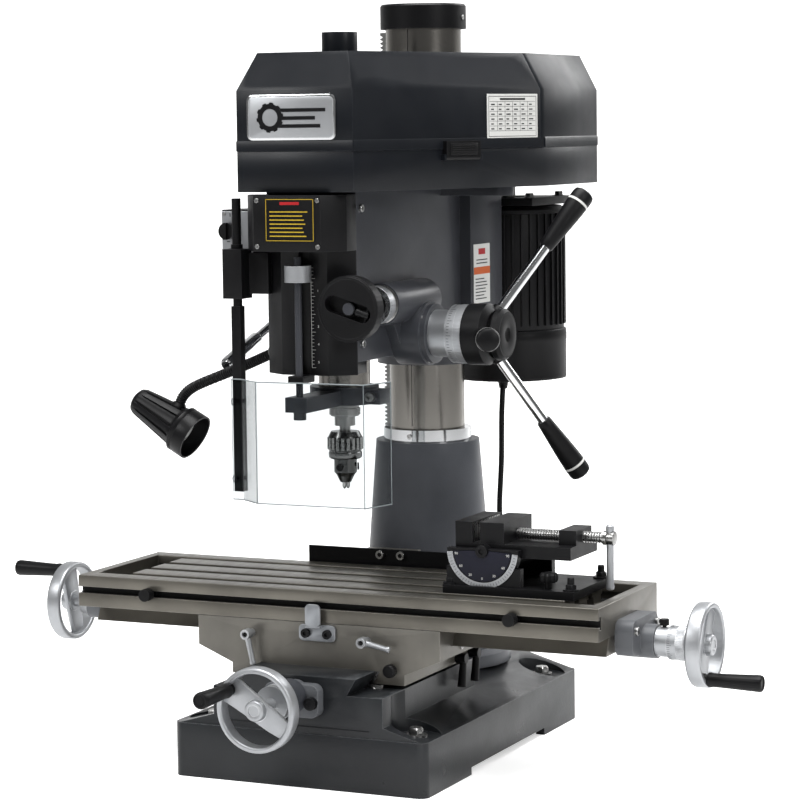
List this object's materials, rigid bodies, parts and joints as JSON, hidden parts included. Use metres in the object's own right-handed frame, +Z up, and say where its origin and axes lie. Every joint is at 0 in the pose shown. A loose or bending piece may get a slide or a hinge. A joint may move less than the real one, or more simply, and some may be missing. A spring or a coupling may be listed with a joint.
{
  "type": "benchtop milling machine",
  "caption": "Round-column mill and drill: cross table with screws and handwheels, swivelling head with belt drive, feed levers, quill and chuck, angle vise and guard.",
  "frame": {"origin": "on the bench, centre of the four hold-down holes", "axes": "+X operator's right, along the table; +Y away from the operator, towards the column; +Z up"},
  "size_m": [1.197, 0.9945, 1.109],
  "materials": {
    "casting_grey": "semi-gloss grey paint over cast iron",
    "ground_steel": "ground and turned steel",
    "chrome": "polished plating",
    "table_iron": "ground top, milled slots, warm grey sides",
    "black_paint": "black enamel",
    "black_plastic": "moulded, slightly worn",
    "cover_paint": "charcoal paint on pressed sheet",
    "bright_aluminium": "cast and turned, bright rims",
    "belt_rubber": "matt moulded rubber",
    "clear_sheet": "clear bent sheet"
  },
  "bodies": {
    "frame": {"base": "casting_grey", "column_foot": "casting_grey", "frame_bolts": "ground_steel", "column": "ground_steel", "column_cap": "black_paint", "column_ring": "chrome", "y_bracket": "casting_grey"},
    "cross_screw": {"y_leadscrew": "ground_steel", "y_handwheel": "bright_aluminium"},
    "cross_handle": {"y_handle": "black_plastic"},
    "saddle": {"saddle": "casting_grey", "gib_and_nuts": "ground_steel", "way_guard": "black_paint", "stop_bracket": "ground_steel"},
    "left_table_lock": {"table_lock_left": "ground_steel"},
    "right_table_lock": {"table_lock_right": "ground_steel"},
    "front_saddle_lock": {"saddle_lock_front": "black_paint"},
    "rear_saddle_lock": {"saddle_lock_rear": "black_paint"},
    "table": {"table": "table_iron", "table_brackets": "casting_grey", "vise_base": "black_paint"},
    "left_stop_dog": {"stop_dog_left": "black_plastic"},
    "right_stop_dog": {"stop_dog_right": "black_plastic"},
    "long_screw": {"x_leadscrew": "ground_steel", "x_handwheels": "bright_aluminium"},
    "left_handle": {"x_handle_left": "black_plastic"},
    "right_handle": {"x_handle_right": "black_plastic"},
    "vise_tilting_body": {"vise_body": "black_paint"},
    "vise_moving_jaw": {"vise_jaw": "ground_steel"},
    "vise_clamp_screw": {"vise_screw": "chrome"},
    "rack_ring": {"rack": "ground_steel"},
    "head": {"head": "casting_grey", "front_cover": "black_paint", "feed_housing": "casting_grey", "belt_tray": "cover_paint", "motor": "black_paint", "switch_box": "black_plastic", "work_lamp": "black_paint", "belts": "belt_rubber"},
    "lift_crank": {"head_crank": "chrome"},
    "feed": {"feed_shaft": "ground_steel", "feed_hub": "black_plastic", "feed_levers": "chrome"},
    "fine_feed": {"fine_wheel": "black_plastic"},
    "fine_feed_handle": {"fine_handle": "black_plastic"},
    "worm_wheel": {"worm_wheel": "ground_steel"},
    "quill": {"quill": "ground_steel", "quill_collar": "ground_steel"},
    "depth_nut": {"depth_nut": "chrome"},
    "motor_rotor": {"motor_rotor": "ground_steel"},
    "idler": {"idler_pulley": "bright_aluminium"},
    "spindle_cone": {"spindle_pulley": "bright_aluminium"},
    "spindle": {"spindle": "ground_steel", "chuck": "chrome"},
    "chuck_sleeve": {"chuck_sleeve": "chrome"},
    "lid": {"belt_lid": "cover_paint"},
    "lid_latch": {"lid_latch": "black_paint"},
    "guard": {"guard_rod": "ground_steel", "guard_panel": "clear_sheet"},
    "switch_knob": {"switch_knob": "black_plastic"}
  },
  "joints": [
    {"name": "cross_screw_turn", "type": "hinge", "parent": "frame", "child": "cross_screw", "pos_m": [0, -0.405, 0.1337], "axis": [0, -1, 0], "range_deg": [-1440.01, 11160.01]},
    {"name": "saddle_slide", "type": "slide", "parent": "frame", "child": "saddle", "axis": [0, -1, 0], "range_m": [-0.02, 0.155]},
    {"name": "cross_handle_spin", "type": "hinge", "parent": "cross_screw", "child": "cross_handle", "pos_m": [-0.041, -0.45, 0.1597], "axis": [0, -1, 0], "continuous": true},
    {"name": "left_table_lock_turn", "type": "hinge", "parent": "saddle", "child": "left_table_lock", "pos_m": [-0.104, -0.23, 0.203], "axis": [0, 1, 0], "range_deg": [-30, 60]},
    {"name": "right_table_lock_turn", "type": "hinge", "parent": "saddle", "child": "right_table_lock", "pos_m": [0.08, -0.23, 0.203], "axis": [0, 1, 0], "range_deg": [-60, 30]},
    {"name": "front_saddle_lock_turn", "type": "hinge", "parent": "saddle", "child": "front_saddle_lock", "pos_m": [0.145, -0.04, 0.1495], "axis": [1, 0, 0], "range_deg": [-35, 35]},
    {"name": "rear_saddle_lock_turn", "type": "hinge", "parent": "saddle", "child": "rear_saddle_lock", "pos_m": [0.145, 0.008, 0.1495], "axis": [1, 0, 0], "range_deg": [-35, 35]},
    {"name": "table_slide", "type": "slide", "parent": "saddle", "child": "table", "axis": [-1, 0, 0], "range_m": [-0.195, 0.23]},
    {"name": "long_screw_turn", "type": "hinge", "parent": "table", "child": "long_screw", "pos_m": [-0.478, -0.103, 0.2075], "axis": [-1, 0, 0], "range_deg": [-14040.01, 16560.01]},
    {"name": "left_handle_spin", "type": "hinge", "parent": "long_screw", "child": "left_handle", "pos_m": [-0.52, -0.11485, 0.25504], "axis": [-1, 0, 0], "continuous": true},
    {"name": "right_handle_spin", "type": "hinge", "parent": "long_screw", "child": "right_handle", "pos_m": [0.58, -0.12371, 0.16309], "axis": [-1, 0, 0], "continuous": true},
    {"name": "left_dog_slide", "type": "slide", "parent": "table", "child": "left_stop_dog", "axis": [1, 0, 0], "range_m": [-0.1, 0.1]},
    {"name": "right_dog_slide", "type": "slide", "parent": "table", "child": "right_stop_dog", "axis": [1, 0, 0], "range_m": [-0.1, 0.1]},
    {"name": "vise_tilt", "type": "hinge", "parent": "table", "child": "vise_tilting_body", "pos_m": [0.235, -0.103, 0.331], "axis": [0, 1, 0], "range_deg": [-60, 0]},
    {"name": "vise_jaw_slide", "type": "slide", "parent": "vise_tilting_body", "child": "vise_moving_jaw", "axis": [1, 0, 0], "range_m": [-0.0115, 0.07]},
    {"name": "vise_screw_turn", "type": "hinge", "parent": "vise_moving_jaw", "child": "vise_clamp_screw", "pos_m": [0.33, -0.103, 0.349], "axis": [1, 0, 0], "range_deg": [-1035, 6300]},
    {"name": "head_swivel", "type": "hinge", "parent": "frame", "child": "rack_ring", "pos_m": [0, 0.17, 0.7], "axis": [0, 0, 1], "range_deg": [-30, 30]},
    {"name": "head_lift", "type": "slide", "parent": "rack_ring", "child": "head", "axis": [0, 0, 1], "range_m": [-0.098, 0.035]},
    {"name": "lift_crank_turn", "type": "hinge", "parent": "head", "child": "lift_crank", "pos_m": [-0.12, -0.02, 0.628], "axis": [1, 0, 0], "range_deg": [-3528.02, 1260.02]},
    {"name": "feed_lever_turn", "type": "hinge", "parent": "head", "child": "feed", "pos_m": [0.1, -0.068, 0.628], "axis": [1, 0, 0], "range_deg": [0, 490]},
    {"name": "quill_travel", "type": "slide", "parent": "head", "child": "quill", "axis": [0, 0, -1], "range_m": [0, 0.12657]},
    {"name": "depth_nut_travel", "type": "slide", "parent": "quill", "child": "depth_nut", "axis": [0, 0, 1], "range_m": [-0.12, 0.008]},
    {"name": "fine_feed_turn", "type": "hinge", "parent": "head", "child": "fine_feed", "pos_m": [0.08, -0.2, 0.675], "axis": [0, -1, 0], "continuous": true},
    {"name": "worm_wheel_turn", "type": "hinge", "parent": "head", "child": "worm_wheel", "pos_m": [0.082, -0.068, 0.628], "axis": [1, 0, 0], "continuous": true},
    {"name": "fine_handle_fold", "type": "hinge", "parent": "fine_feed", "child": "fine_feed_handle", "pos_m": [0.10678, -0.267, 0.66681], "axis": [0.2924, 0, 0.9563], "range_deg": [0, 90]},
    {"name": "motor_turn", "type": "hinge", "parent": "head", "child": "motor_rotor", "pos_m": [0.048, 0.385, 0.7], "axis": [0, 0, 1], "continuous": true},
    {"name": "idler_turn", "type": "hinge", "parent": "head", "child": "idler", "pos_m": [0.158, 0.09, 0.886], "axis": [0, 0, 1], "continuous": true},
    {"name": "spindle_cone_turn", "type": "hinge", "parent": "head", "child": "spindle_cone", "pos_m": [0, -0.121, 0.886], "axis": [0, 0, 1], "continuous": true},
    {"name": "spindle_turn", "type": "hinge", "parent": "quill", "child": "spindle", "pos_m": [0, -0.121, 0.6], "axis": [0, 0, 1], "continuous": true},
    {"name": "chuck_sleeve_turn", "type": "hinge", "parent": "spindle", "child": "chuck_sleeve", "pos_m": [0, -0.121, 0.46], "axis": [0, 0, 1], "range_deg": [0, 360]},
    {"name": "lid_swing", "type": "hinge", "parent": "head", "child": "lid", "pos_m": [-0.17132, -0.07979, 0.892], "axis": [0.3741, -0.9274, 0], "range_deg": [0, 90]},
    {"name": "lid_latch_swing", "type": "hinge", "parent": "head", "child": "lid_latch", "pos_m": [0.17095, -0.07964, 0.881], "axis": [0.3741, 0.9274, 0], "range_deg": [0, 90]},
    {"name": "guard_swing", "type": "hinge", "parent": "head", "child": "guard", "pos_m": [-0.105, -0.246, 0.6], "axis": [0, 0, -1], "range_deg": [0, 100]},
    {"name": "switch_turn", "type": "hinge", "parent": "head", "child": "switch_knob", "pos_m": [-0.13, -0.22, 0.78], "axis": [0, -1, 0], "range_deg": [0, 60]}
  ],
  "couplings": [
    {"joint": "cross_screw_turn", "follows": "saddle_slide", "rad_per_m": 1256.6},
    {"joint": "long_screw_turn", "follows": "table_slide", "rad_per_m": 1256.6},
    {"joint": "vise_jaw_slide", "follows": "vise_screw_turn", "m_per_rad": 0.00063662},
    {"joint": "lift_crank_turn", "follows": "head_lift", "rad_per_m": 628.32},
    {"joint": "quill_travel", "follows": "feed_lever_turn", "m_per_rad": 0.0148},
    {"joint": "worm_wheel_turn", "follows": "fine_feed_turn", "ratio": 0.025},
    {"joint": "idler_turn", "follows": "motor_turn", "ratio": 0.78836},
    {"joint": "spindle_cone_turn", "follows": "motor_turn", "ratio": 0.72852},
    {"joint": "spindle_turn", "follows": "motor_turn", "ratio": 0.72852}
  ]
}
